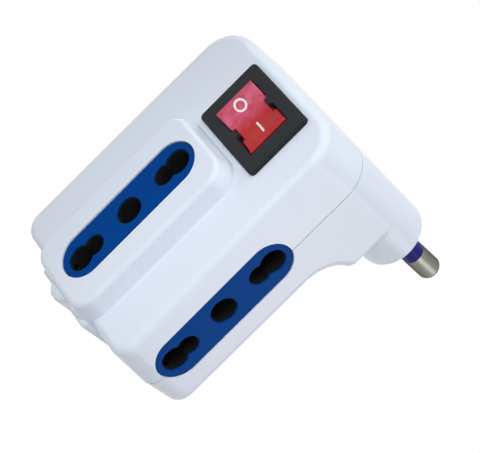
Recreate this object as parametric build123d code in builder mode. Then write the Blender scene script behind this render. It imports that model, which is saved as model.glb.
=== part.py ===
import os
from math import acos, cos, degrees, radians, sin, sqrt, tan

from build123d import *

# Sizes in millimetres. Depths run from the case's front face towards the wall socket,
# heights run up from the centre line of the three sockets.
# The case takes its size from the pins, the sockets and the switch that it holds.

# Case
wall = 2.0
crown_margin = 2.7  # case above the switch
crown_drop = 0.5  # front face below the top of the case
crown_narrow = 0.7  # front face inside each side of the case at its top
foot_rise = 1.2  # front face above the lower end of the case
split_offset = 1.0  # parting plane of the two shells behind the side sockets' axis
head_step = 5.8  # head behind the back of the lower case
nose_length = 9.0
foot_radius = 4.0
front_round = 1.8
back_round = 2.4
flare_radius = 7.5  # hollow curve between the lower case and the head
head_shelf = 2.5  # flat of the head's back below the nose
head_round = 1.2
rear_draft = 1.5  # rear shell and nose narrow towards the pins
nose_step = 0.03  # nose inside the sides of the head
nose_round = 0.9
seam_gap = 0.25  # groove round the case at the parting plane
seam_depth = 0.6
lip_height = 1.5  # rim of the front shell inside the rear shell
lip_thickness = 0.9
lip_gap = 0.1

# Raised block round the front socket, which wraps under the lower end of the case
block_side = 6.6  # block past the socket plate
block_end = 3.7
block_drop = 0.4  # its centre below the socket's centre
block_foot = 0.3  # its lower end below the case
block_height = 4.0
block_draft = 17.5
block_corner = 5.5
block_round = 1.2
wrap_depth = 7.3
wrap_round = 1.2
pad_width = 19.2
pad_stand = 0.95  # its lower face below the case
pad_height = 3.0
pad_depth = 10.0
pad_round = 1.0
lug_width = 10.0  # at its root
lug_tip = 2.0
lug_stand = 1.65  # its lower face below the case
lug_height = 2.55
lug_front = 2.1
lug_depth = 4.8
lug_round = 0.8

# Sockets and pins
side_socket_depth = 11.1
plate_rim = 1.4  # socket plate past its outer holes
plate_width = 10.25
plate_thickness = 0.5
plate_recess = 0.3
plate_gap = 0.1
hole_lead = 0.1  # plate's holes wider than the guide's
flange_inset = 2.1  # flange's ends inside the plate's
flange_rim = 1.5  # flange past the plate's sides
flange_thickness = 1.6
guide_rim = 0.8  # guide block past its outer holes
guide_width = 8.4
guide_depth = 2.8
wide_pitch = 13.0  # 16 A pins, from the earth pin
narrow_pitch = 9.5  # 10 A pins
narrow_pin = 4.0
wide_hole = 5.4
narrow_hole = 4.4
earth_hole = 5.5
pin_diameter = 5.0
pin_length = 18.5
pin_round = 1.2
sleeve_length = 10.6
sleeve_thickness = 0.5
sleeve_root = 1.2  # sleeve inside the nose's end wall
pin_waist = 0.2  # groove round pin and sleeve inside that wall
pin_gap = 0.02
collar_diameter = 7.0
collar_thickness = 1.5
carrier_thickness = 3.5
carrier_gap = 0.15
tail_diameter = 3.6
rivet_neck = 2.6
rivet_head = 4.4
rivet_height = 0.8

# Contact bars, folded from sheet
sheet = 0.6
clip_gap = 0.05  # between a pin and its clip
clip_margin = 1.0  # clip past the pins it takes
clip_inner = 5.0  # side clips, from the centre plane
clip_space = 0.8  # front clips behind their guide
pin_space = 1.1  # tip of a side plug's pin to the front clips
strip_width = 3.2
strip_space = 3.35  # strips behind the clips' back leaves
strip_rise = 4.0  # from the strips' turn up to the pins
strip_bend = 1.0
strip_gap = 1.6  # between the earth and the neutral strip
line_tab = 9.0
line_tab_length = 5.2
plate_margin = 2.5  # plates past the pin's axis
tag_gap = 0.15  # line tag above the inside of the nose
rivet_space = 0.1  # line lead below the rivet
seat_width = 1.2
seat_length = 5.0

# Switch
switch_offset = 3.3
switch_space = 1.2  # bezel above the block
bezel_length = 21.0
bezel_width = 15.0
bezel_height = 1.24
bezel_corner = 1.0
bezel_round = 0.4
bezel_rim = 1.2  # bezel past the switch body
switch_depth = 13.0
switch_gap = 0.2
rocker_end = 3.0  # switch body past the rocker
rocker_side = 1.65
rocker_rise = 1.4  # level rocker's ends above the bezel
rocker_hollow = 2.2  # its middle below its ends
rocker_gap = 0.2
rocker_round = 0.35
rocker_tilt = 8.0
pivot_drop = 3.5  # below the bezel's face
trunnion_diameter = 2.4
trunnion_length = 1.1
trunnion_gap = 0.05
cheek_radius = 1.2  # half-round cheeks of the bezel over the trunnions
cheek_reach = 0.9
cheek_height = 1.8
cheek_gap = 0.4
rocker_shoulder = 1.2  # lower edge of its ends above the pivot
rocker_foot = 2.4  # its underside below the pivot
foot_length = 6.0
terminal_width = 4.8
terminal_thickness = 0.8
terminal_length = 7.0
terminal_root = 3.0
terminal_gap = 0.05
terminal_pitch = 10.0
lead_diameter = 2.2
lead_gap = 0.05
lead_bend = 1.5
lead_run = 3.4  # straight run at each end of a lead
lead_space = 0.85  # leads to the back wall

# Screws that hold the shells together
screw_drop = 5.0
post_diameter = 4.4
post_space = 0.25  # posts to the side guides
post_clear = 0.5  # posts to the clips
strip_clear = 0.1  # posts to the neutral strip
screw_diameter = 2.2
screw_head = 3.8
screw_head_height = 1.5
screw_bite = 6.0
screw_gap = 0.1
well_depth = 1.8

# Places that follow from the sizes
pin_radius = pin_diameter / 2
clip_reach = pin_radius + clip_gap + sheet / 2  # pin axis to the middle of the sheet
half_width = pin_length + pin_space + clip_reach + sheet / 2
case_width = 2 * half_width
plate_length = 2 * wide_pitch + wide_hole + 2 * plate_rim
flange_length = plate_length - 2 * flange_inset
flange_width = plate_width + 2 * flange_rim
guide_length = 2 * wide_pitch + wide_hole + 2 * guide_rim
guide_back = wall + flange_thickness + guide_depth
block_width = plate_width + 2 * block_side
block_length = plate_length + 2 * block_end
socket_height = block_length / 2 + block_drop - block_foot  # above the lower end of the case
switch_height = block_length / 2 - block_drop + switch_space + bezel_width / 2
crown = switch_height + bezel_width / 2 + crown_margin
tag_drop = rivet_head / 2 + rivet_space + lead_diameter / 2
crown_radius = wall + tag_drop + lead_diameter + tag_gap  # top corners of the case and ends of the nose
plug_height = crown - crown_radius
clip_back = side_socket_depth + clip_reach + sheet / 2
strip_depth = side_socket_depth + clip_reach + strip_space
strip_turn = plug_height - strip_rise
tab_back = strip_depth + sheet / 2 + lead_gap + lead_diameter / 2
cavity_back = tab_back + lead_diameter / 2 + lead_space
case_depth = cavity_back + wall
split_depth = side_socket_depth + split_offset
head_depth = case_depth + head_step
nose_depth = head_depth + nose_length
nose_root = head_depth - 2 * head_round  # nose starts inside the head, before its rounded edge
nose_inset = (nose_root - split_depth) * tan(radians(rear_draft)) + nose_step
flare_rise = sqrt(flare_radius**2 - (flare_radius - head_step) ** 2)
flare_height = crown - 2 * crown_radius - head_shelf - flare_rise
front_y = -nose_depth
socket_z = -plug_height
screw_offset = half_width - guide_back - post_space - post_diameter / 2
clip_outer = screw_offset - post_diameter / 2 - post_clear
clip_front = guide_back - block_height + clip_space
neutral_strip = post_diameter / 2 + strip_clear + strip_width / 2 - screw_offset
earth_strip = neutral_strip + strip_width + strip_gap
seat_offset = (earth_strip + neutral_strip) / 2
live_web = wide_pitch + clip_reach
live_end = narrow_pitch - narrow_pin / 2 - clip_margin
live_middle = (wide_pitch + narrow_pitch) / 2
carrier_depth = nose_depth - wall - collar_thickness - carrier_thickness
plate_depth = carrier_depth - sheet
switch_length = bezel_length - 2 * bezel_rim
switch_width = bezel_width - 2 * bezel_rim
rocker_length = switch_length - 2 * rocker_end
rocker_width = switch_width - 2 * rocker_side
pivot_depth = pivot_drop - bezel_height
tilt = radians(rocker_tilt)
rocker_top = pivot_drop + rocker_rise
pocket_length = rocker_length * cos(tilt) + 2 * rocker_top * sin(tilt) + 2 * rocker_gap
pocket_width = rocker_width + 2 * rocker_gap
pocket_depth = pivot_depth + rocker_foot * cos(tilt) + foot_length / 2 * sin(tilt) + rocker_gap
cheek_half = sqrt(cheek_radius**2 - (cheek_radius - cheek_reach) ** 2)
notch_length = 2 * (cheek_half + pivot_drop * sin(tilt) + rocker_gap)
notch_low = pivot_drop - cheek_height - cheek_gap
terminal_end = switch_depth + terminal_length
input_x = switch_offset + terminal_pitch / 2
output_x = switch_offset - terminal_pitch / 2

front = Plane(origin=(0, front_y, socket_z), x_dir=(1, 0, 0), z_dir=(0, -1, 0))
inward = Plane(origin=(0, front_y, socket_z), x_dir=(-1, 0, 0), z_dir=(0, 1, 0))
side = Plane(origin=(0, front_y, socket_z), x_dir=(0, 1, 0), z_dir=(1, 0, 0))
block_face = front.offset(block_height)
right_face = Plane(
    origin=(half_width, front_y + side_socket_depth, socket_z), x_dir=(0, 1, 0), z_dir=(1, 0, 0)
)
left_face = Plane(
    origin=(-half_width, front_y + side_socket_depth, socket_z), x_dir=(0, -1, 0), z_dir=(-1, 0, 0)
)
screw_places = [(-screw_offset, -screw_drop), (screw_offset, -screw_drop)]
pin_places = [(-wide_pitch, plug_height), (0, plug_height), (wide_pitch, plug_height)]
switch_place = (switch_offset, switch_height)


# Front view of the case, drawn inside the outer surface by the inset
def case_outline(inset):
    low = inset - socket_height
    high = crown - inset
    with BuildSketch(mode=Mode.PRIVATE) as outline:
        with Locations((0, (low + high) / 2)):
            Rectangle(case_width - 2 * inset, high - low)
        fillet(outline.vertices().group_by(Axis.Y)[-1], radius=crown_radius - inset)
        fillet(outline.vertices().group_by(Axis.Y)[0], radius=foot_radius - inset)
    return outline.sketch


# Front face of the case, a little narrower at its top
def face_outline():
    low = foot_rise - socket_height
    high = crown - crown_drop
    top_half = half_width - crown_narrow
    with BuildSketch(mode=Mode.PRIVATE) as outline:
        with BuildLine():
            Polyline(
                (-half_width, low),
                (half_width, low),
                (top_half, high),
                (-top_half, high),
                close=True,
            )
        make_face()
        fillet(outline.vertices().group_by(Axis.Y)[-1], radius=crown_radius)
        fillet(outline.vertices().group_by(Axis.Y)[0], radius=foot_radius)
    return outline.sketch


# Side view of the case behind the parting plane: lower back, hollow flare and head
def back_profile(inset):
    centre_depth = case_depth + flare_radius
    radius = flare_radius + inset
    turn = degrees(acos((centre_depth - head_depth + inset) / radius))
    with BuildSketch(mode=Mode.PRIVATE) as profile:
        with BuildLine():
            flare = CenterArc((centre_depth, flare_height), radius, 180, -turn)
            Polyline(
                flare @ 1,
                (head_depth - inset, crown),
                (split_depth, crown),
                (split_depth, -socket_height),
                (case_depth - inset, -socket_height),
                flare @ 0,
            )
        make_face()
    return profile.sketch


# Stadium of the plug's nose, flush with the top of the case
def nose_outline(inset):
    with BuildSketch(mode=Mode.PRIVATE) as outline:
        with Locations((0, plug_height)):
            SlotOverall(case_width - 2 * inset, 2 * (crown_radius - inset))
    return outline.sketch


# Block round the front socket, and the pad and the lug under its lower end
with BuildPart() as socket_block:
    with BuildSketch(front) as block_base:
        with Locations((0, -block_drop)):
            RectangleRounded(block_width, block_length, block_corner)
    extrude(amount=block_height, taper=block_draft)
    extrude(block_base.sketch, amount=-wrap_depth)
    fillet(socket_block.faces().sort_by(Axis.Y)[0].edges(), radius=block_round)
    fillet(socket_block.faces().sort_by(Axis.Y)[-1].edges(), radius=wrap_round)

with BuildPart() as foot_pad:
    with BuildSketch(front):
        with Locations((0, pad_height / 2 - pad_stand - socket_height)):
            Rectangle(pad_width, pad_height)
    extrude(amount=-pad_depth)
    fillet(foot_pad.edges(), radius=pad_round)

with BuildPart() as grip_lug:
    lug_low = -lug_stand - socket_height
    with BuildSketch(front.offset(lug_front)):
        with BuildLine():
            Polyline(
                (-lug_width / 2, lug_low + lug_height),
                (lug_width / 2, lug_low + lug_height),
                (lug_tip / 2, lug_low),
                (-lug_tip / 2, lug_low),
                close=True,
            )
        make_face()
    extrude(amount=-lug_front - lug_depth)
    lug_edges = grip_lug.faces().sort_by(Axis.Z)[0].edges() + grip_lug.faces().sort_by(Axis.Y)[0].edges()
    fillet(lug_edges.sort_by(Axis.Z)[:-1], radius=lug_round)

with BuildPart() as front_shell:
    with BuildSketch(front):
        add(face_outline())
    with BuildSketch(front.offset(-split_depth)):
        add(case_outline(0))
    loft()
    fillet(front_shell.faces().sort_by(Axis.Y)[0].edges(), radius=front_round)
    add(socket_block.part)
    add(foot_pad.part)
    add(grip_lug.part)
    # Hollow of the case and of the block
    with BuildSketch(front.offset(-wall)):
        add(case_outline(wall))
    extrude(amount=wall - split_depth, mode=Mode.SUBTRACT)
    with BuildSketch(block_face.offset(-wall)):
        RectangleRounded(flange_width + 2 * wall, flange_length + 2 * wall, wall)
    extrude(amount=-block_height, mode=Mode.SUBTRACT)
    # Rim that enters the rear shell, clear of the side sockets
    with BuildSketch(front.offset(lip_height - split_depth)):
        add(case_outline(wall))
        add(case_outline(wall + lip_thickness), mode=Mode.SUBTRACT)
    extrude(amount=-lip_height)
    with BuildSketch(front.offset(-split_depth)):
        add(case_outline(wall + lip_gap))
        add(case_outline(wall + lip_thickness), mode=Mode.SUBTRACT)
    extrude(amount=-lip_height)
    with BuildSketch(front.offset(-wall)):
        Rectangle(case_width - 2 * wall, guide_length + 2 * wall)
        Rectangle(
            case_width - 2 * (wall + lip_thickness + lip_gap),
            guide_length + 2 * wall,
            mode=Mode.SUBTRACT,
        )
    extrude(amount=-case_depth, mode=Mode.SUBTRACT)
    # Screw posts
    with BuildSketch(front.offset(-split_depth)):
        with Locations(screw_places):
            Circle(post_diameter / 2)
    extrude(amount=split_depth - wall)
    with BuildSketch(front.offset(-split_depth)):
        with Locations(screw_places):
            Circle(screw_diameter / 2 + pin_gap)
    extrude(amount=screw_bite + screw_gap, mode=Mode.SUBTRACT)
    # Windows for the sockets and the switch
    with BuildSketch(block_face, right_face, left_face):
        SlotOverall(plate_length + 2 * plate_gap, plate_width + 2 * plate_gap, rotation=90)
    extrude(amount=-wall, mode=Mode.SUBTRACT)
    with BuildSketch(front):
        with Locations(switch_place):
            Rectangle(switch_length + 2 * switch_gap, switch_width + 2 * switch_gap)
    extrude(amount=-wall, mode=Mode.SUBTRACT)

# Hollow of the rear shell
with BuildPart() as rear_hollow:
    with BuildSketch(front.offset(-split_depth)):
        add(case_outline(wall))
    extrude(amount=split_depth - head_depth)
    with BuildSketch(side):
        add(back_profile(wall))
    extrude(amount=half_width, both=True, mode=Mode.INTERSECT)
    with BuildSketch(inward.offset(head_depth - 2 * wall)):
        add(nose_outline(wall))
    extrude(amount=nose_depth - head_depth + wall)

with BuildPart() as rear_shell:
    with BuildSketch(inward.offset(split_depth)):
        add(case_outline(0))
    extrude(amount=head_depth - split_depth, taper=rear_draft)
    with BuildSketch(side):
        add(back_profile(0))
    extrude(amount=half_width, both=True, mode=Mode.INTERSECT)
    flares = rear_shell.edges().filter_by(GeomType.ELLIPSE).group_by(Axis.X)
    back_face = rear_shell.faces().filter_by(Plane.XZ).sort_by(Axis.Z)[0]
    back_edges = back_face.edges().sort_by(Axis.Z)[:-1]
    fillet(back_edges + flares[0] + flares[-1], radius=back_round)
    head_edge = rear_shell.faces().sort_by(Axis.Y)[-1].edges().sort_by(Axis.Z)[0]
    fillet(head_edge, radius=head_round)
    with BuildSketch(inward.offset(nose_root)):
        add(nose_outline(nose_inset))
    extrude(amount=nose_depth - nose_root, taper=rear_draft)
    fillet(rear_shell.faces().sort_by(Axis.Y)[-1].edges(), radius=nose_round)
    add(rear_hollow.part, mode=Mode.SUBTRACT)
    with BuildSketch(front.offset(-split_depth)):
        add(case_outline(0))
        add(case_outline(seam_depth), mode=Mode.SUBTRACT)
    extrude(amount=-seam_gap, mode=Mode.SUBTRACT)
    with BuildSketch(right_face, left_face):
        SlotOverall(plate_length + 2 * plate_gap, plate_width + 2 * plate_gap, rotation=90)
    extrude(amount=-wall, mode=Mode.SUBTRACT)
    with BuildSketch(inward.offset(nose_depth - wall)):
        with Locations(pin_places):
            Circle(pin_radius + pin_gap)
    extrude(amount=wall, mode=Mode.SUBTRACT)
    # Seats under the contact bars
    with BuildSketch(front.offset(-cavity_back)):
        with GridLocations(2 * seat_offset, live_middle, 2, 3):
            Rectangle(seat_width, seat_length)
    extrude(amount=cavity_back - clip_back)
    # Screw posts, with a well for each screw head in the back wall
    with BuildSketch(front.offset(-cavity_back)):
        with Locations(screw_places):
            Circle(post_diameter / 2)
    extrude(amount=cavity_back - split_depth)
    with BuildSketch(front.offset(-case_depth)):
        with Locations(screw_places):
            Circle(screw_head / 2 + screw_gap)
    extrude(amount=well_depth, mode=Mode.SUBTRACT)
    with BuildSketch(front.offset(-case_depth)):
        with Locations(screw_places):
            Circle(screw_diameter / 2 + screw_gap)
    extrude(amount=case_depth - split_depth, mode=Mode.SUBTRACT)


# Round hole for the earth pin and two figure-eight holes, each for a thick or a thin pin
def socket_holes(lead):
    with BuildSketch(mode=Mode.PRIVATE) as holes:
        Circle(earth_hole / 2 + lead)
        with Locations((0, wide_pitch), (0, -wide_pitch)):
            Circle(wide_hole / 2 + lead)
        with Locations((0, narrow_pitch), (0, -narrow_pitch)):
            Circle(narrow_hole / 2 + lead)
    return holes.sketch


# Thin coloured plate in the window of a socket
def socket_plate(face):
    with BuildPart() as plate:
        with BuildSketch(face.offset(-plate_recess)):
            SlotOverall(plate_length, plate_width, rotation=90)
            add(socket_holes(hole_lead), mode=Mode.SUBTRACT)
        extrude(amount=-plate_thickness)
    return plate.part


# Dark guide under the plate, with a flange behind the wall and a block that leads to the clips
def socket_guide(face):
    with BuildPart() as guide:
        with BuildSketch(face.offset(-plate_recess - plate_thickness)):
            SlotOverall(plate_length, plate_width, rotation=90)
        extrude(amount=plate_recess + plate_thickness - wall)
        with BuildSketch(face.offset(-wall)):
            Rectangle(flange_width, flange_length)
        extrude(amount=-flange_thickness)
        with BuildSketch(face.offset(-wall - flange_thickness)):
            SlotOverall(guide_length, guide_width, rotation=90)
        extrude(amount=-guide_depth)
        with BuildSketch(face):
            add(socket_holes(0))
        extrude(amount=-guide_back, mode=Mode.SUBTRACT)
    return guide.part


# Folded clips of one pole: two side channels on a common web, and two leaves for the front socket
def contact_clips(web, leaf_end):
    back_leaf = side_socket_depth + clip_reach
    front_leaf = side_socket_depth - clip_reach
    inner_web = web - sheet / 2 if web > leaf_end else web + sheet / 2
    with BuildPart() as clips:
        with BuildSketch(side):
            with BuildLine():
                FilletPolyline(
                    (back_leaf, leaf_end),
                    (back_leaf, web),
                    (front_leaf, web),
                    (front_leaf, leaf_end),
                    radius=sheet,
                )
            trace(line_width=sheet)
        extrude(amount=clip_outer, both=True)
        with BuildSketch(side):
            with Locations((side_socket_depth, (inner_web + leaf_end) / 2)):
                Rectangle(4 * clip_reach, abs(inner_web - leaf_end))
        extrude(amount=clip_inner, both=True, mode=Mode.SUBTRACT)
        with BuildSketch(side):
            with Locations(((clip_front + side_socket_depth) / 2, web)):
                Rectangle(side_socket_depth - clip_front, sheet)
        extrude(amount=clip_reach + sheet / 2, both=True)
        leaf_faces = (side.offset(clip_reach - sheet / 2), side.offset(-clip_reach - sheet / 2))
        with BuildSketch(*leaf_faces):
            with Locations(((clip_front + side_socket_depth) / 2, (web + leaf_end) / 2)):
                Rectangle(side_socket_depth - clip_front, abs(web - leaf_end))
        extrude(amount=sheet)
    return clips.part


# Strip from a web along the back of the case and up to a pin's plate, or to a free end
def contact_strip(across, points):
    with BuildPart() as strip:
        with BuildSketch(side.offset(across - strip_width / 2)):
            with BuildLine():
                FilletPolyline(*points, radius=strip_bend)
            trace(line_width=sheet)
        extrude(amount=strip_width)
    return strip.part


# Plate round a pin's rivet, from the pin to the far edge of its strip
def pin_plate(pin_x, far_edge, low):
    near_edge = pin_x + plate_margin if far_edge < pin_x else pin_x - plate_margin
    high = plug_height + plate_margin
    with BuildPart() as plate:
        with BuildSketch(front.offset(-plate_depth)):
            with Locations(((near_edge + far_edge) / 2, (low + high) / 2)):
                Rectangle(abs(near_edge - far_edge), high - low)
            with Locations((pin_x, plug_height)):
                Circle(rivet_neck / 2 + lead_gap, mode=Mode.SUBTRACT)
        extrude(amount=-sheet)
    return plate.part


# Route of a pole's strip from its web to the plate behind the pins
def strip_route(web):
    plate_middle = plate_depth + sheet / 2
    return [
        (side_socket_depth + clip_reach, web),
        (strip_depth, web),
        (strip_depth, strip_turn),
        (plate_middle, strip_turn),
        (plate_middle, plug_height),
    ]


plate_low = strip_turn + strip_bend + sheet

with BuildPart() as line_bar:
    add(contact_clips(live_web, live_end))
    tab_route = [
        (side_socket_depth + clip_reach, live_web),
        (strip_depth, live_web),
        (strip_depth, live_web + line_tab_length),
    ]
    add(contact_strip(line_tab, tab_route))

with BuildPart() as earth_bar:
    add(contact_clips(clip_reach, -pin_radius - clip_margin))
    add(contact_strip(earth_strip, strip_route(clip_reach)))
    add(pin_plate(0, earth_strip - strip_width / 2, plate_low))

with BuildPart() as neutral_bar:
    add(contact_clips(-live_web, -live_end))
    add(contact_strip(neutral_strip, strip_route(-live_web)))
    add(pin_plate(-wide_pitch, neutral_strip + strip_width / 2, plate_low))

line_tag = pin_plate(wide_pitch, wide_pitch + plate_margin, plug_height - tag_drop - lead_diameter)


# Turned pin with a collar inside the nose and a riveted tail
def plug_pin(across, sleeved):
    carrier_y = carrier_depth - nose_depth
    plate_y = plate_depth - nose_depth
    with BuildPart() as pin:
        with BuildSketch(Plane(origin=(across, 0, 0), x_dir=(1, 0, 0), z_dir=(0, 0, 1))):
            with BuildLine():
                Polyline(
                    (0, plate_y - rivet_height),
                    (rivet_head / 2, plate_y - rivet_height),
                    (rivet_head / 2, plate_y),
                    (rivet_neck / 2, plate_y),
                    (rivet_neck / 2, carrier_y),
                    (tail_diameter / 2, carrier_y),
                    (tail_diameter / 2, -wall - collar_thickness),
                    (collar_diameter / 2, -wall - collar_thickness),
                    (collar_diameter / 2, -wall),
                    (pin_radius - pin_waist, -wall),
                    (pin_radius - pin_waist, 0),
                    (pin_radius, 0),
                    (pin_radius, pin_length),
                    (0, pin_length),
                    close=True,
                )
            make_face()
            if sleeved:
                with Locations((pin_radius, (sleeve_length - sleeve_root) / 2)):
                    Rectangle(2 * sleeve_thickness, sleeve_length + sleeve_root, mode=Mode.SUBTRACT)
        revolve(axis=Axis((across, 0, 0), (0, 1, 0)))
        fillet(pin.faces().sort_by(Axis.Y)[-1].edges(), radius=pin_round)
    return pin.part


def pin_sleeve(across):
    with BuildPart() as sleeve:
        with BuildSketch(inward.offset(nose_depth)):
            with Locations((-across, plug_height)):
                Circle(pin_radius)
        extrude(amount=sleeve_length)
        with BuildSketch(inward.offset(nose_depth)):
            with Locations((-across, plug_height)):
                Circle(pin_radius - pin_waist)
        extrude(amount=-sleeve_root)
        with BuildSketch(inward.offset(nose_depth - sleeve_root)):
            with Locations((-across, plug_height)):
                Circle(pin_radius - sleeve_thickness + pin_gap)
        extrude(amount=sleeve_root + sleeve_length, mode=Mode.SUBTRACT)
    return sleeve.part


with BuildPart() as pin_carrier:
    with BuildSketch(inward.offset(carrier_depth)):
        add(nose_outline(wall + carrier_gap))
        with Locations(pin_places):
            Circle(tail_diameter / 2 + lead_gap, mode=Mode.SUBTRACT)
    extrude(amount=carrier_thickness)

# Switch, with the rocker tilted to its on position
level = Plane(
    origin=(switch_offset, front_y + pivot_depth, socket_z + switch_height),
    x_dir=(1, 0, 0),
    z_dir=(0, 0, -1),
)
tilted = Plane(origin=level.origin, x_dir=(cos(tilt), sin(tilt), 0), z_dir=(0, 0, -1))

with BuildPart() as switch_body:
    with BuildSketch(front):
        with Locations(switch_place):
            RectangleRounded(bezel_length, bezel_width, bezel_corner)
    extrude(amount=bezel_height)
    fillet(switch_body.faces().sort_by(Axis.Y)[0].edges(), radius=bezel_round)
    with BuildSketch(front):
        with Locations(switch_place):
            Rectangle(switch_length, switch_width)
    extrude(amount=-switch_depth)
    with BuildSketch(front.offset(bezel_height)):
        with Locations(switch_place):
            Rectangle(pocket_length, pocket_width)
    extrude(amount=-bezel_height - pocket_depth, mode=Mode.SUBTRACT)
    cheek_place = pocket_width / 2 + cheek_radius - cheek_reach
    with BuildSketch(front.offset(bezel_height)):
        with Locations(switch_place):
            with GridLocations(0, 2 * cheek_place, 1, 2):
                Circle(cheek_radius)
            Rectangle(pocket_length, pocket_width, mode=Mode.INTERSECT)
    extrude(amount=-cheek_height)
    with BuildSketch(level):
        Circle(trunnion_diameter / 2 + trunnion_gap)
    extrude(amount=switch_width / 2, both=True, mode=Mode.SUBTRACT)
    with BuildSketch(front.offset(-switch_depth)):
        with Locations((input_x, switch_height), (output_x, switch_height)):
            Rectangle(terminal_thickness + 2 * terminal_gap, terminal_width + 2 * terminal_gap)
    extrude(amount=terminal_root, mode=Mode.SUBTRACT)

with BuildPart() as rocker:
    with BuildSketch(tilted):
        with BuildLine():
            ThreePointArc(
                (-rocker_length / 2, rocker_top),
                (0, rocker_top - rocker_hollow),
                (rocker_length / 2, rocker_top),
            )
            Polyline(
                (rocker_length / 2, rocker_top),
                (rocker_length / 2, rocker_shoulder),
                (foot_length / 2, -rocker_foot),
                (-foot_length / 2, -rocker_foot),
                (-rocker_length / 2, rocker_shoulder),
                (-rocker_length / 2, rocker_top),
            )
        make_face()
    extrude(amount=rocker_width / 2, both=True)
    fillet(rocker.faces().filter_by(GeomType.CYLINDER).edges(), radius=rocker_round)
    with BuildSketch(tilted.offset(rocker_width / 2 - cheek_reach), tilted.offset(-rocker_width / 2)):
        with Locations((0, (notch_low + rocker_top) / 2)):
            Rectangle(notch_length, rocker_top - notch_low)
    extrude(amount=cheek_reach, mode=Mode.SUBTRACT)
    with BuildSketch(tilted):
        Circle(trunnion_diameter / 2)
    extrude(amount=rocker_width / 2 + trunnion_length, both=True)


def switch_terminal(across):
    with BuildPart() as terminal:
        with BuildSketch(front.offset(terminal_root - switch_depth)):
            with Locations((across, switch_height)):
                Rectangle(terminal_thickness, terminal_width)
        extrude(amount=-terminal_root - terminal_length)
    return terminal.part


# Insulated lead along points given as across, depth and height
def lead(points):
    route = [front.from_local_coords(Vector(x, z, -depth)) for x, depth, z in points]
    with BuildPart() as wire:
        with BuildLine() as path:
            FilletPolyline(*route, radius=lead_bend)
        with BuildSketch(Plane(origin=path.line @ 0, z_dir=path.line % 0)):
            Circle(lead_diameter / 2)
        sweep()
    return wire.part


tag_height = plug_height - tag_drop
line_lead = lead(
    [
        (wide_pitch, plate_depth - lead_gap, tag_height),
        (wide_pitch, plate_depth - lead_run, tag_height),
        (input_x, terminal_end + lead_run, switch_height),
        (input_x, terminal_end + lead_gap, switch_height),
    ]
)
tab_top = live_web + line_tab_length
switched_lead = lead(
    [
        (output_x, terminal_end + lead_gap, switch_height),
        (output_x, terminal_end + lead_run, switch_height),
        (line_tab, terminal_end + lead_diameter, tab_top + lead_run + lead_diameter / 2),
        (line_tab, tab_back, tab_top),
        (line_tab, tab_back, tab_top - lead_run),
    ]
)

with BuildPart() as case_screws:
    with BuildSketch(front.offset(well_depth - case_depth)):
        with Locations(screw_places):
            Circle(screw_head / 2)
    extrude(amount=-screw_head_height)
    with BuildSketch(front.offset(well_depth - case_depth)):
        with Locations(screw_places):
            Circle(screw_diameter / 2)
    extrude(amount=case_depth - well_depth - split_depth + screw_bite)

pieces = {
    "front_shell": front_shell.part,
    "rear_shell": rear_shell.part,
    "front_plate": socket_plate(block_face),
    "right_plate": socket_plate(right_face),
    "left_plate": socket_plate(left_face),
    "front_guide": socket_guide(block_face),
    "right_guide": socket_guide(right_face),
    "left_guide": socket_guide(left_face),
    "line_bar": line_bar.part,
    "earth_bar": earth_bar.part,
    "neutral_bar": neutral_bar.part,
    "line_tag": line_tag,
    "line_pin": plug_pin(wide_pitch, True),
    "earth_pin": plug_pin(0, False),
    "neutral_pin": plug_pin(-wide_pitch, True),
    "line_sleeve": pin_sleeve(wide_pitch),
    "neutral_sleeve": pin_sleeve(-wide_pitch),
    "pin_carrier": pin_carrier.part,
    "switch_body": switch_body.part,
    "rocker": rocker.part,
    "input_terminal": switch_terminal(input_x),
    "output_terminal": switch_terminal(output_x),
    "line_lead": line_lead,
    "switched_lead": switched_lead,
    "case_screws": case_screws.part,
}
os.makedirs("parts", exist_ok=True)
for name, piece in pieces.items():
    piece.label = name
    export_step(piece, f"parts/{name}.step")
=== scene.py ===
from math import cos, pi, radians, sin

import bmesh
import bpy
from mathutils import Matrix, Vector
from mathutils.bvhtree import BVHTree


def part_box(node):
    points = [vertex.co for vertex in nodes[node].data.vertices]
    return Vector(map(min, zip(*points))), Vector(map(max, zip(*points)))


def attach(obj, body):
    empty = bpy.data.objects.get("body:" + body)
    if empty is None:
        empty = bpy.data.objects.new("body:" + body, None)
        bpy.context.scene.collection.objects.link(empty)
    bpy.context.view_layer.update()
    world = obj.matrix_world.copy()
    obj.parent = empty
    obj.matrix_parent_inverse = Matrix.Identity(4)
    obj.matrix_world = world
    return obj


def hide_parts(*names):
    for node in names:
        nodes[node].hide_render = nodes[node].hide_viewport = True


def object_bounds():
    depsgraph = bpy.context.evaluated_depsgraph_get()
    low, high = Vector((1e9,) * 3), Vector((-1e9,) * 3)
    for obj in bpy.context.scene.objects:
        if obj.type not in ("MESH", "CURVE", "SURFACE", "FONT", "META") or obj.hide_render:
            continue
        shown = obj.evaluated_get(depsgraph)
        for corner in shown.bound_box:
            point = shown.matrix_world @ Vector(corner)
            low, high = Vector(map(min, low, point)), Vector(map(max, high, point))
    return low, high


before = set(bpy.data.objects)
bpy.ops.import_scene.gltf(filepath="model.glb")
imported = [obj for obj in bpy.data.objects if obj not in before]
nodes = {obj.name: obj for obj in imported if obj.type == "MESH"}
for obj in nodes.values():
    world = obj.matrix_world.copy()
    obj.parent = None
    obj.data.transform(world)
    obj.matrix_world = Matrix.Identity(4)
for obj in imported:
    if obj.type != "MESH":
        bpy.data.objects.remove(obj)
cadBox = [list(corner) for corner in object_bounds()]
scene = bpy.context.scene
mm = 0.001  # sizes below are in millimetres


# sRGB hex to linear
def hexColour(code):
    channels = [int(code[i:i + 2], 16) / 255 for i in (1, 3, 5)]
    linear = [c / 12.92 if c <= 0.04045 else ((c + 0.055) / 1.055) ** 2.4 for c in channels]
    return (*linear, 1.0)


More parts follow.
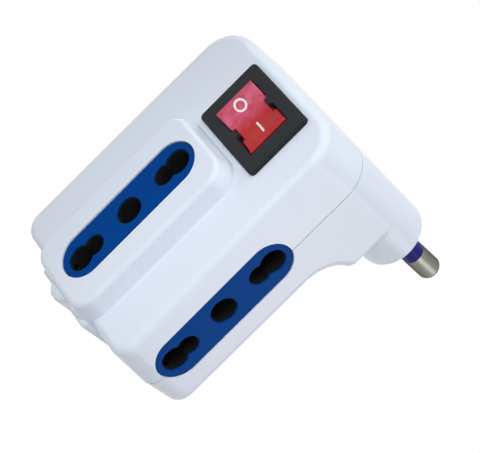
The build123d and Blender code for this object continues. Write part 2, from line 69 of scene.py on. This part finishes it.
# adds a node, with its settings and either values or links on its inputs
def addNode(tree, kind, settings=None, inputs=None):
    node = tree.nodes.new(kind)
    for name, value in (settings or {}).items():
        setattr(node, name, value)
    for key, value in (inputs or {}).items():
        if isinstance(value, bpy.types.NodeSocket):
            tree.links.new(value, node.inputs[key])
        else:
            node.inputs[key].default_value = value
    return node


# sockets of a Mix node that mixes colours
colourMix = {"share": 0, "from": 6, "to": 7, "out": 2}


# a material with one Principled shader, and the Object coordinates its patterns use
def startMaterial(name, settings):
    material = bpy.data.materials.new(name)
    material.use_nodes = True
    tree = material.node_tree
    tree.nodes.clear()
    shader = addNode(tree, "ShaderNodeBsdfPrincipled", inputs=settings)
    addNode(tree, "ShaderNodeOutputMaterial", inputs={"Surface": shader.outputs["BSDF"]})
    place = addNode(tree, "ShaderNodeTexCoord").outputs["Object"]
    return material, tree, shader, place


# height is the grain's, as a share of its width
plasticPattern = {"swirlDetail": 2.0, "grainDetail": 3.0, "height": 0.1}


# moulded plastics: two close tones in slow swirls, and the fine grain of the mould
def mouldedPlastic(name, look):
    material, tree, shader, place = startMaterial(name, look["shader"])
    swirl = addNode(tree, "ShaderNodeTexNoise", inputs={
        "Vector": place, "Scale": 1 / (look["swirl"] * mm), "Detail": plasticPattern["swirlDetail"]})
    tone = addNode(tree, "ShaderNodeMix", {"data_type": "RGBA"}, {
        colourMix["share"]: swirl.outputs["Fac"],
        colourMix["from"]: hexColour(look["colour"]),
        colourMix["to"]: hexColour(look["shade"])})
    grain = addNode(tree, "ShaderNodeTexNoise", inputs={
        "Vector": place, "Scale": 1 / (look["grain"] * mm), "Detail": plasticPattern["grainDetail"]})
    gloss = addNode(tree, "ShaderNodeMapRange", inputs={
        "Value": grain.outputs["Fac"], "To Min": look["gloss"][0], "To Max": look["gloss"][1]})
    bump = addNode(tree, "ShaderNodeBump", inputs={
        "Height": grain.outputs["Fac"], "Strength": look["bump"],
        "Distance": look["grain"] * mm * plasticPattern["height"]})
    tree.links.new(tone.outputs[colourMix["out"]], shader.inputs["Base Color"])
    tree.links.new(gloss.outputs["Result"], shader.inputs["Roughness"])
    tree.links.new(bump.outputs["Normal"], shader.inputs["Normal"])
    return material


# height is the lay's, as a share of its width; a Wave texture turns 20 rad in each unit of its scale
metalPattern = {"hazeDetail": 4.0, "layDetail": 2.0, "layWander": 1.5, "height": 0.05, "waveTurn": 20}


# metals: a rolled or turned lay across one axis, and slow tarnish in the tone
def workedMetal(name, look):
    material, tree, shader, place = startMaterial(name, look["shader"])
    haze = addNode(tree, "ShaderNodeTexNoise", inputs={
        "Vector": place, "Scale": 1 / (look["haze"] * mm), "Detail": metalPattern["hazeDetail"]})
    tone = addNode(tree, "ShaderNodeMix", {"data_type": "RGBA"}, {
        colourMix["share"]: haze.outputs["Fac"],
        colourMix["from"]: hexColour(look["colour"]),
        colourMix["to"]: hexColour(look["shade"])})
    lay = addNode(tree, "ShaderNodeTexWave", {"wave_type": "BANDS", "bands_direction": look["across"]}, {
        "Vector": place, "Scale": 2 * pi / (metalPattern["waveTurn"] * look["lay"] * mm),
        "Distortion": metalPattern["layWander"], "Detail": metalPattern["layDetail"]})
    gloss = addNode(tree, "ShaderNodeMapRange", inputs={
        "Value": haze.outputs["Fac"], "To Min": look["gloss"][0], "To Max": look["gloss"][1]})
    bump = addNode(tree, "ShaderNodeBump", inputs={
        "Height": lay.outputs["Fac"], "Strength": look["bump"],
        "Distance": look["lay"] * mm * metalPattern["height"]})
    tree.links.new(tone.outputs[colourMix["out"]], shader.inputs["Base Color"])
    tree.links.new(gloss.outputs["Result"], shader.inputs["Roughness"])
    tree.links.new(bump.outputs["Normal"], shader.inputs["Normal"])
    return material


# swirl, grain, haze and lay below are the patterns' real widths in mm; gloss is the roughness, low to high

# ABS from a fine-eroded mould: cool white with a soft gloss, highlights only on the rounds
whiteAbs = mouldedPlastic("moulded white ABS", {
    "colour": "#e0e8f5", "shade": "#dae3f1", "swirl": 16.0, "grain": 0.22, "bump": 0.1,
    "gloss": (0.2, 0.28), "shader": {"IOR": 1.54, "Specular IOR Level": 0.32}})

# polyamide plates in strong blue: satin, with hardly a highlight
bluePolyamide = mouldedPlastic("moulded blue polyamide", {
    "colour": "#024290", "shade": "#013d87", "swirl": 7.0, "grain": 0.2, "bump": 0.1,
    "gloss": (0.36, 0.46), "shader": {"IOR": 1.53, "Specular IOR Level": 0.03}})

# black polyamide behind the plates, matt from its coarse mould
blackGuide = mouldedPlastic("moulded black polyamide", {
    "colour": "#1c1e1d", "shade": "#171918", "swirl": 5.0, "grain": 0.25, "bump": 0.2,
    "gloss": (0.5, 0.62), "shader": {"IOR": 1.53, "Specular IOR Level": 0.2}})

# switch frame: charcoal polyamide with a sparkle grain that scatters the light
switchFrame = mouldedPlastic("spark-eroded charcoal polyamide", {
    "colour": "#26292c", "shade": "#212428", "swirl": 6.0, "grain": 0.28, "bump": 0.45,
    "gloss": (0.4, 0.55), "shader": {"IOR": 1.53, "Specular IOR Level": 0.15}})

# rocker: red polycarbonate, clear enough for light to bleed inside it, with a soft shine
redPolycarbonate = mouldedPlastic("moulded red polycarbonate", {
    "colour": "#bc2523", "shade": "#b02426", "swirl": 4.0, "grain": 0.3, "bump": 0.05,
    "gloss": (0.28, 0.36), "shader": {
        "IOR": 1.585, "Specular IOR Level": 0.25, "Subsurface Weight": 0.25,
        "Subsurface Radius": (1.0, 0.12, 0.1), "Subsurface Scale": 0.0012}})

# a painted pink sheen in the rocker's colour, strongest beside the O: a painted reflection of the lighting
# on its hollow face; place along X, width and grain in mm
rockerPaintedSheen = {"colour": "#cd6487", "place": 0.1, "width": 4.6, "grain": 1.4, "detail": 3.0,
               "mottle": (0.3, 0.7), "share": (0.35, 1.2)}


# mixes a painted sheen into a material's base colour: strongest at a place along X, fading away from it,
# mottled by noise
def addPaintedSheen(material, paintedSheen):
    tree = material.node_tree
    colour = tree.nodes["Principled BSDF"].inputs["Base Color"]
    place = addNode(tree, "ShaderNodeTexCoord").outputs["Object"]
    across = addNode(tree, "ShaderNodeSeparateXYZ", inputs={0: place}).outputs["X"]
    apart = addNode(tree, "ShaderNodeMath", {"operation": "SUBTRACT"}, {0: across, 1: paintedSheen["place"] * mm})
    away = addNode(tree, "ShaderNodeMath", {"operation": "ABSOLUTE"}, {0: apart.outputs[0]})
    fade = addNode(tree, "ShaderNodeMapRange", {"interpolation_type": "SMOOTHSTEP"}, {
        "Value": away.outputs[0], "From Max": paintedSheen["width"] * mm, "To Min": 1.0, "To Max": 0.0})
    mottle = addNode(tree, "ShaderNodeTexNoise", inputs={
        "Vector": place, "Scale": 1 / (paintedSheen["grain"] * mm), "Detail": paintedSheen["detail"]})
    sheenStrength = addNode(tree, "ShaderNodeMapRange", inputs={
        "Value": mottle.outputs["Fac"], "From Min": paintedSheen["mottle"][0], "From Max": paintedSheen["mottle"][1],
        "To Min": paintedSheen["share"][0], "To Max": paintedSheen["share"][1]})
    share = addNode(tree, "ShaderNodeMath", {"operation": "MULTIPLY", "use_clamp": True}, {
        0: fade.outputs["Result"], 1: sheenStrength.outputs["Result"]})
    # the painted sheen laid over the base colour
    withSheen = addNode(tree, "ShaderNodeMix", {"data_type": "RGBA"}, {
        colourMix["share"]: share.outputs[0],
        colourMix["from"]: colour.links[0].from_socket,
        colourMix["to"]: hexColour(paintedSheen["colour"])})
    tree.links.new(withSheen.outputs[colourMix["out"]], colour)


# the rocker's colour gets the painted pink sheen, a painted reflection on its hollow
addPaintedSheen(redPolycarbonate, rockerPaintedSheen)

# sleeves moulded on the live pins: indigo PBT, satin
indigoPbt = mouldedPlastic("moulded indigo PBT", {
    "colour": "#241c7a", "shade": "#1f186c", "swirl": 4.0, "grain": 0.2, "bump": 0.1,
    "gloss": (0.3, 0.4), "shader": {"IOR": 1.55, "Specular IOR Level": 0.06}})

# pin carrier inside the nose: natural grey PBT, dull
greyPbt = mouldedPlastic("moulded grey PBT", {
    "colour": "#b4b6b8", "shade": "#a9abad", "swirl": 8.0, "grain": 0.3, "bump": 0.2,
    "gloss": (0.4, 0.5), "shader": {"IOR": 1.55}})

# leads: extruded brown PVC, slightly waxy
brownPvc = mouldedPlastic("extruded brown PVC", {
    "colour": "#6b4226", "shade": "#5f3a21", "swirl": 3.0, "grain": 0.35, "bump": 0.1,
    "gloss": (0.38, 0.46), "shader": {"IOR": 1.53}})

# pad-printed ink: a flat, warm white film with a faint tooth
whiteInk = mouldedPlastic("pad-printed white ink", {
    "colour": "#f2ece8", "shade": "#ece4e0", "swirl": 0.8, "grain": 0.12, "bump": 0.15,
    "gloss": (0.45, 0.55), "shader": {"IOR": 1.5}})

# pins: turned brass under grey satin nickel; the rings of the lathe are drawn 0.3 mm apart to show
platedBrass = workedMetal("turned nickel-plated brass", {
    "colour": "#8e8e88", "shade": "#7c7b74", "haze": 4.0, "lay": 0.3, "across": "Y", "bump": 0.25,
    "gloss": (0.28, 0.38), "shader": {"Metallic": 1.0, "Specular Tint": hexColour("#8c8c84")}})

# contact bars: rolled brass strip, yellow, with long streaks from the rolls
rolledBrass = workedMetal("rolled brass strip", {
    "colour": "#d6b25e", "shade": "#c39f4f", "haze": 5.0, "lay": 0.25, "across": "X", "bump": 0.15,
    "gloss": (0.25, 0.35), "shader": {"Metallic": 1.0}})

# switch terminals: brass with a dull tin coat
tinnedBrass = workedMetal("tinned brass", {
    "colour": "#c8c8c4", "shade": "#b5b5b0", "haze": 3.0, "lay": 0.25, "across": "Y", "bump": 0.15,
    "gloss": (0.35, 0.48), "shader": {"Metallic": 1.0}})

# case screws: zinc-plated steel, bluish and bright
zincSteel = workedMetal("zinc-plated steel", {
    "colour": "#c3c8cc", "shade": "#aeb4ba", "haze": 2.0, "lay": 0.25, "across": "X", "bump": 0.15,
    "gloss": (0.28, 0.38), "shader": {"Metallic": 1.0}})
print("materials:", len(bpy.data.materials))


# the object's modifiers become its plain mesh
def bakeShape(piece):
    graph = bpy.context.evaluated_depsgraph_get()
    finished = bpy.data.meshes.new_from_object(piece.evaluated_get(graph))
    piece.modifiers.clear()
    piece.data = finished


def placePiece(piece, body, material):
    piece.data.materials.clear()
    piece.data.materials.append(material)
    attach(piece, body)


# weld in mm, angles in degrees: flatter ones are merged away, sharper ones stay creased or are bevelled
edgeLook = {"weld": 0.001, "flatAngle": 0.4, "creaseAngle": 32, "bevelAngle": 40, "bevelSegments": 2}


# a node's own shape with its triangles joined, edges softened and rounds shaded smooth
def softenNode(node, body, slot, material, edge):
    mesh = nodes[node].data.copy()
    work = bmesh.new()
    work.from_mesh(mesh)
    bmesh.ops.remove_doubles(work, verts=work.verts, dist=edgeLook["weld"] * mm)
    bmesh.ops.dissolve_limit(
        work, angle_limit=radians(edgeLook["flatAngle"]), verts=work.verts, edges=work.edges)
    for face in work.faces:
        face.smooth = True
    for rim in work.edges:
        rim.smooth = rim.calc_face_angle(0) < radians(edgeLook["creaseAngle"])
    work.to_mesh(mesh)
    work.free()
    piece = bpy.data.objects.new(node + "_finish", mesh)
    scene.collection.objects.link(piece)
    if edge:
        bevel = piece.modifiers.new("edge", "BEVEL")
        bevel.width = edge * mm
        bevel.segments = edgeLook["bevelSegments"]
        bevel.limit_method = "ANGLE"
        bevel.angle_limit = radians(edgeLook["bevelAngle"])
    flats = piece.modifiers.new("flats", "WEIGHTED_NORMAL")
    flats.keep_sharp = True
    bakeShape(piece)
    placePiece(piece, body, material)
    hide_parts(node)


# what shows: node, body, slot, material and the softening of its edges in mm
shownNodes = [
    ("front_shell", "case", "white_case", whiteAbs, 0.0),
    ("rear_shell", "case", "white_case", whiteAbs, 0.0),
    ("front_plate", "case", "blue_plate", bluePolyamide, 0.12),
    ("right_plate", "case", "blue_plate", bluePolyamide, 0.12),
    ("left_plate", "case", "blue_plate", bluePolyamide, 0.12),
    ("front_guide", "case", "black_guide", blackGuide, 0.0),
    ("right_guide", "case", "black_guide", blackGuide, 0.0),
    ("left_guide", "case", "black_guide", blackGuide, 0.0),
    ("switch_body", "case", "black_switch", switchFrame, 0.1),
    ("rocker", "rocker", "red_rocker", redPolycarbonate, 0.14),
    ("line_pin", "case", "plated_pin", platedBrass, 0.0),
    ("earth_pin", "case", "plated_pin", platedBrass, 0.0),
    ("neutral_pin", "case", "plated_pin", platedBrass, 0.0),
    ("line_sleeve", "case", "indigo_sleeve", indigoPbt, 0.08),
    ("neutral_sleeve", "case", "indigo_sleeve", indigoPbt, 0.08),
]
for shown in shownNodes:
    softenNode(*shown)
print("softened nodes:", len(shownNodes))

# what is inside keeps its own solid and gets its finish
innerNodes = {
    "line_bar": rolledBrass, "earth_bar": rolledBrass, "neutral_bar": rolledBrass, "line_tag": rolledBrass,
    "pin_carrier": greyPbt, "input_terminal": tinnedBrass, "output_terminal": tinnedBrass,
    "line_lead": brownPvc, "switched_lead": brownPvc,
}
for name, material in innerNodes.items():
    nodes[name].data.materials.clear()
    nodes[name].data.materials.append(material)
print("inner nodes:", len(innerNodes))

# pan-head screws in the back, with a cross recess
screwLook = {"count": 2, "headWidth": 3.8, "headHeight": 1.5, "domeHeight": 0.5, "shankWidth": 2.2,
             "crossReach": 2.4, "crossWidth": 0.6, "crossDepth": 0.9, "headSides": 48, "shankSides": 32}


# one screw along Z, head up from 0 and shank down, set out in a row along X
def screwTree():
    tree = bpy.data.node_groups.new("screwRow", "GeometryNodeTree")
    tree.interface.new_socket("Geometry", in_out="OUTPUT", socket_type="NodeSocketGeometry")
    kinds = dict.fromkeys((
        "Spacing", "Head Radius", "Head Height", "Dome Height", "Shank Radius", "Shank Length",
        "Cross Reach", "Cross Width", "Cross Depth"), "NodeSocketFloat")
    kinds["Place"] = "NodeSocketVector"
    kinds["Finish"] = "NodeSocketMaterial"
    names = {}
    for name, kind in kinds.items():
        names[name] = tree.interface.new_socket(name, in_out="INPUT", socket_type=kind).identifier
    given = addNode(tree, "NodeGroupInput").outputs

    # a share of a length, as an offset along Z
    def alongZ(length, share):
        part = addNode(tree, "ShaderNodeMath", {"operation": "MULTIPLY"}, {0: length, 1: share})
        return addNode(tree, "ShaderNodeCombineXYZ", inputs={"Z": part.outputs[0]}).outputs[0]

    # the head: a straight rim with a sloping dome on it
    rimHeight = addNode(tree, "ShaderNodeMath", {"operation": "SUBTRACT"}, {
        0: given["Head Height"], 1: given["Dome Height"]}).outputs[0]
    domeRadius = addNode(tree, "ShaderNodeMath", {"operation": "SUBTRACT"}, {
        0: given["Head Radius"], 1: given["Dome Height"]}).outputs[0]
    rim = addNode(tree, "GeometryNodeMeshCylinder", inputs={
        "Vertices": screwLook["headSides"], "Radius": given["Head Radius"], "Depth": rimHeight})
    rimPlaced = addNode(tree, "GeometryNodeTransform", inputs={
        "Geometry": rim.outputs["Mesh"], "Translation": alongZ(rimHeight, 0.5)})
    dome = addNode(tree, "GeometryNodeMeshCone", inputs={
        "Vertices": screwLook["headSides"], "Radius Bottom": given["Head Radius"],
        "Radius Top": domeRadius, "Depth": given["Dome Height"]})
    domePlaced = addNode(tree, "GeometryNodeTransform", inputs={
        "Geometry": dome.outputs["Mesh"], "Translation": alongZ(rimHeight, 1.0)})
    head = addNode(tree, "GeometryNodeMeshBoolean", {"operation": "UNION", "solver": "EXACT"})
    tree.links.new(domePlaced.outputs[0], head.inputs["Mesh 2"])
    tree.links.new(rimPlaced.outputs[0], head.inputs["Mesh 2"])

    # the cross: two bars centred on the top of the head, so half of their height cuts in
    recess = addNode(tree, "GeometryNodeMeshBoolean", {"operation": "DIFFERENCE", "solver": "EXACT"})
    tree.links.new(head.outputs["Mesh"], recess.inputs["Mesh 1"])
    deep = addNode(tree, "ShaderNodeMath", {"operation": "MULTIPLY"}, {
        0: given["Cross Depth"], 1: 2.0}).outputs[0]
    for alongX, alongY in (("Cross Reach", "Cross Width"), ("Cross Width", "Cross Reach")):
        size = addNode(tree, "ShaderNodeCombineXYZ", inputs={
            "X": given[alongX], "Y": given[alongY], "Z": deep})
        bar = addNode(tree, "GeometryNodeMeshCube", inputs={"Size": size.outputs[0]})
        barPlaced = addNode(tree, "GeometryNodeTransform", inputs={
            "Geometry": bar.outputs["Mesh"], "Translation": alongZ(given["Head Height"], 1.0)})
        tree.links.new(barPlaced.outputs[0], recess.inputs["Mesh 2"])

    shank = addNode(tree, "GeometryNodeMeshCylinder", inputs={
        "Vertices": screwLook["shankSides"], "Radius": given["Shank Radius"],
        "Depth": given["Shank Length"]})
    shankPlaced = addNode(tree, "GeometryNodeTransform", inputs={
        "Geometry": shank.outputs["Mesh"], "Translation": alongZ(given["Shank Length"], -0.5)})
    screw = addNode(tree, "GeometryNodeJoinGeometry")
    tree.links.new(recess.outputs["Mesh"], screw.inputs[0])
    tree.links.new(shankPlaced.outputs[0], screw.inputs[0])

    step = addNode(tree, "ShaderNodeCombineXYZ", inputs={"X": given["Spacing"]})
    row = addNode(tree, "GeometryNodeMeshLine", {"mode": "OFFSET"}, {
        "Count": screwLook["count"], "Start Location": given["Place"], "Offset": step.outputs[0]})
    many = addNode(tree, "GeometryNodeInstanceOnPoints", inputs={
        "Points": row.outputs["Mesh"], "Instance": screw.outputs[0],
        "Rotation": (-pi / 2, 0, 0)})  # the head looks out of the back, along +Y
    real = addNode(tree, "GeometryNodeRealizeInstances", inputs={"Geometry": many.outputs[0]})
    painted = addNode(tree, "GeometryNodeSetMaterial", inputs={
        "Geometry": real.outputs[0], "Material": given["Finish"]})
    addNode(tree, "NodeGroupOutput", inputs={0: painted.outputs[0]})
    return tree, names


def driveScrews():
    low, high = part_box("case_screws")
    headRadius = screwLook["headWidth"] / 2 * mm
    headHeight = screwLook["headHeight"] * mm
    seat = high.y - headHeight
    tree, names = screwTree()
    values = {
        "Spacing": high.x - low.x - 2 * headRadius,
        "Head Radius": headRadius,
        "Head Height": headHeight,
        "Dome Height": screwLook["domeHeight"] * mm,
        "Shank Radius": screwLook["shankWidth"] / 2 * mm,
        "Shank Length": seat - low.y,
        "Cross Reach": screwLook["crossReach"] * mm,
        "Cross Width": screwLook["crossWidth"] * mm,
        "Cross Depth": screwLook["crossDepth"] * mm,
        "Place": (low.x + headRadius, seat, (low.z + high.z) / 2),
        "Finish": zincSteel,
    }
    screws = bpy.data.objects.new("case_screws_driven", bpy.data.meshes.new("case_screws_driven"))
    row = screws.modifiers.new("screwRow", "NODES")
    row.node_group = tree
    for name, value in values.items():
        row[names[name]] = value
    scene.collection.objects.link(screws)
    bakeShape(screws)
    placePiece(screws, "case", zincSteel)
    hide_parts("case_screws")
    print("screws:", len(screws.data.polygons), "faces")


driveScrews()

# the marks printed on the rocker: an O at the raised end and an I at the pressed end
# places run from the pivot along the tilted rocker; the ink is dropped on its face from reach mm out
markLook = {"pivot": (3.3, -35.24, -2.45), "tilt": 8.0, "reach": 20, "film": 0.03, "stroke": 0.42,
            "ringPlace": -4.25, "ringLength": 2.5, "ringWidth": 2.66, "ringSteps": 72,
            "barPlace": 2.35, "barLength": 3.3, "barSteps": 12}


def printMarks():
    tilt = radians(markLook["tilt"])
    along = Vector((cos(tilt), sin(tilt), 0))  # from the O to the I
    out = Vector((sin(tilt), -cos(tilt), 0))
    pivot = Vector(markLook["pivot"]) * mm
    film = markLook["film"] * mm
    rocker = nodes["rocker"].data
    surface = BVHTree.FromPolygons(
        [corner.co for corner in rocker.vertices], [face.vertices[:] for face in rocker.polygons])

    # a point of the print, dropped on the rocker's hollow face
    def onFace(length, height):
        start = pivot + along * length * mm + Vector((0, 0, height * mm)) + out * markLook["reach"] * mm
        return surface.ray_cast(start, -out)[0]

    # a strip between two rails, closed into a thin film
    def inkStrip(work, rails, closed):
        rows = []
        for pair in rails:
            spots = [onFace(*spot) for spot in pair]
            rows.append([work.verts.new(spot + out * lift) for lift in (-film, film) for spot in spots])
        count = len(rows)
        for i in range(count if closed else count - 1):
            a, b = rows[i], rows[(i + 1) % count]
            for p, q in ((0, 1), (1, 3), (3, 2), (2, 0)):
                work.faces.new((a[p], a[q], b[q], b[p]))
        if not closed:
            for row in (rows[0], rows[-1]):
                work.faces.new((row[0], row[1], row[3], row[2]))

    work = bmesh.new()
    half = markLook["stroke"] / 2
    steps = markLook["ringSteps"]
    ring = []
    for i in range(steps):
        turn = 2 * pi * i / steps
        ring.append([(markLook["ringPlace"] + (markLook["ringLength"] / 2 - half + side) * cos(turn),
                      (markLook["ringWidth"] / 2 - half + side) * sin(turn)) for side in (-half, half)])
    inkStrip(work, ring, True)
    steps = markLook["barSteps"]
    bar = []
    for i in range(steps + 1):
        length = markLook["barPlace"] + markLook["barLength"] * (i / steps - 0.5)
        bar.append([(length, -half), (length, half)])
    inkStrip(work, bar, False)
    bmesh.ops.recalc_face_normals(work, faces=work.faces)
    mesh = bpy.data.meshes.new("rocker_marks")
    work.to_mesh(mesh)
    work.free()
    marks = bpy.data.objects.new("rocker_marks", mesh)
    scene.collection.objects.link(marks)
    placePiece(marks, "rocker", whiteInk)
    print("marks:", len(mesh.polygons), "faces")


printMarks()


# 1 for the rays that show the backdrop: straight, mirrored or through glass
def seenRays(tree):
    rays = addNode(tree, "ShaderNodeLightPath").outputs
    two = addNode(tree, "ShaderNodeMath", {"operation": "MAXIMUM"}, {
        0: rays["Is Camera Ray"], 1: rays["Is Glossy Ray"]})
    return addNode(tree, "ShaderNodeMath", {"operation": "MAXIMUM"}, {
        0: two.outputs[0], 1: rays["Is Transmission Ray"]}).outputs[0]


# a pale floor below the part, which the camera sees as the white of the backdrop with a shadow on it
floorLook = {"drop": 60.0, "radius": 4000.0, "sides": 96, "colour": "#cccccc",
             "glow": 0.75, "strength": 1.28}


def layFloor():
    work = bmesh.new()
    bmesh.ops.create_circle(
        work, cap_ends=True, segments=floorLook["sides"], radius=floorLook["radius"] * mm)
    mesh = bpy.data.meshes.new("floor")
    work.to_mesh(mesh)
    work.free()
    mesh.transform(Matrix.Translation((0, 0, cadBox[0][2] - floorLook["drop"] * mm)))
    floor = bpy.data.objects.new("floor", mesh)
    scene.collection.objects.link(floor)
    material = bpy.data.materials.new("pale studio floor")
    material.use_nodes = True
    tree = material.node_tree
    tree.nodes.clear()
    matt = addNode(tree, "ShaderNodeBsdfDiffuse", inputs={"Color": hexColour(floorLook["colour"])})
    glow = addNode(tree, "ShaderNodeEmission", inputs={"Strength": floorLook["strength"]})
    share = addNode(tree, "ShaderNodeMath", {"operation": "MULTIPLY"}, {
        0: seenRays(tree), 1: floorLook["glow"]})
    lit = addNode(tree, "ShaderNodeMixShader", inputs={
        0: share.outputs[0], 1: matt.outputs[0], 2: glow.outputs[0]})
    addNode(tree, "ShaderNodeOutputMaterial", inputs={"Surface": lit.outputs[0]})
    mesh.materials.append(material)


# the room: an even fill on the part, and plain white where it is seen
worldLook = {"colour": "#ffffff", "fill": 0.33, "seen": 1.0}


def lightWorld():
    world = bpy.data.worlds.new("studio")
    world.use_nodes = True
    tree = world.node_tree
    tree.nodes.clear()
    colour = hexColour(worldLook["colour"])
    fill = addNode(tree, "ShaderNodeBackground", inputs={"Color": colour, "Strength": worldLook["fill"]})
    white = addNode(tree, "ShaderNodeBackground", inputs={"Color": colour, "Strength": worldLook["seen"]})
    room = addNode(tree, "ShaderNodeMixShader", inputs={
        0: seenRays(tree), 1: fill.outputs[0], 2: white.outputs[0]})
    addNode(tree, "ShaderNodeOutputWorld", inputs={"Surface": room.outputs[0]})
    scene.world = world


layFloor()
lightWorld()

# soft boxes: place, aim and size in mm, spread of the beam in degrees, power in watts
# only the side box is mirrored in the gloss, because the others would burn out the flats
softBoxes = {
    "keyBox": {"place": (90, -210, 20), "aim": (30, -36, -24), "size": 120, "spread": 58,
               "power": 0.038, "mirrored": False},
    "sideBox": {"place": (380, 260, -40), "aim": (0, -20, -20), "size": 300, "spread": 180,
                "power": 0.78, "mirrored": True},
    "topBox": {"place": (60, -150, 500), "aim": (0, -20, -20), "size": 300, "spread": 180,
               "power": 1.3, "mirrored": False},
    "backBox": {"place": (-180, 580, 140), "aim": (0, -20, -20), "size": 260, "spread": 180,
                "power": 1.0, "mirrored": False},
}


def hangLamps():
    for name, box in softBoxes.items():
        lamp = bpy.data.lights.new(name, "AREA")
        lamp.size = box["size"] * mm
        lamp.spread = radians(box["spread"])
        lamp.energy = box["power"]
        holder = bpy.data.objects.new(name, lamp)
        place, aim = Vector(box["place"]) * mm, Vector(box["aim"]) * mm
        holder.location = place
        holder.rotation_euler = (aim - place).to_track_quat("-Z", "Y").to_euler()
        holder.visible_camera = False
        holder.visible_glossy = box["mirrored"]
        scene.collection.objects.link(holder)


hangLamps()

# the photograph's view: from the right and front, a little above, with the picture rolled by 45 degrees
viewLook = {"eye": (289.6, -313.2, 16.8), "aim": (9.75, -26.55, -19.0), "roll": 45.2,
            "lens": 157.3, "sensor": 36.0}


def placeCamera():
    camera = bpy.data.cameras.new("camera")
    camera.sensor_width = viewLook["sensor"]
    camera.lens = viewLook["lens"]
    holder = bpy.data.objects.new("camera", camera)
    eye, aim = Vector(viewLook["eye"]) * mm, Vector(viewLook["aim"]) * mm
    level = (aim - eye).to_track_quat("-Z", "Y").to_matrix().to_4x4()
    roll = Matrix.Rotation(radians(viewLook["roll"]), 4, "Z")
    holder.matrix_world = Matrix.Translation(eye) @ level @ roll
    scene.collection.objects.link(holder)
    scene.camera = holder


placeCamera()
scene.view_settings.view_transform = "Standard"
print("stage, lights and camera set")
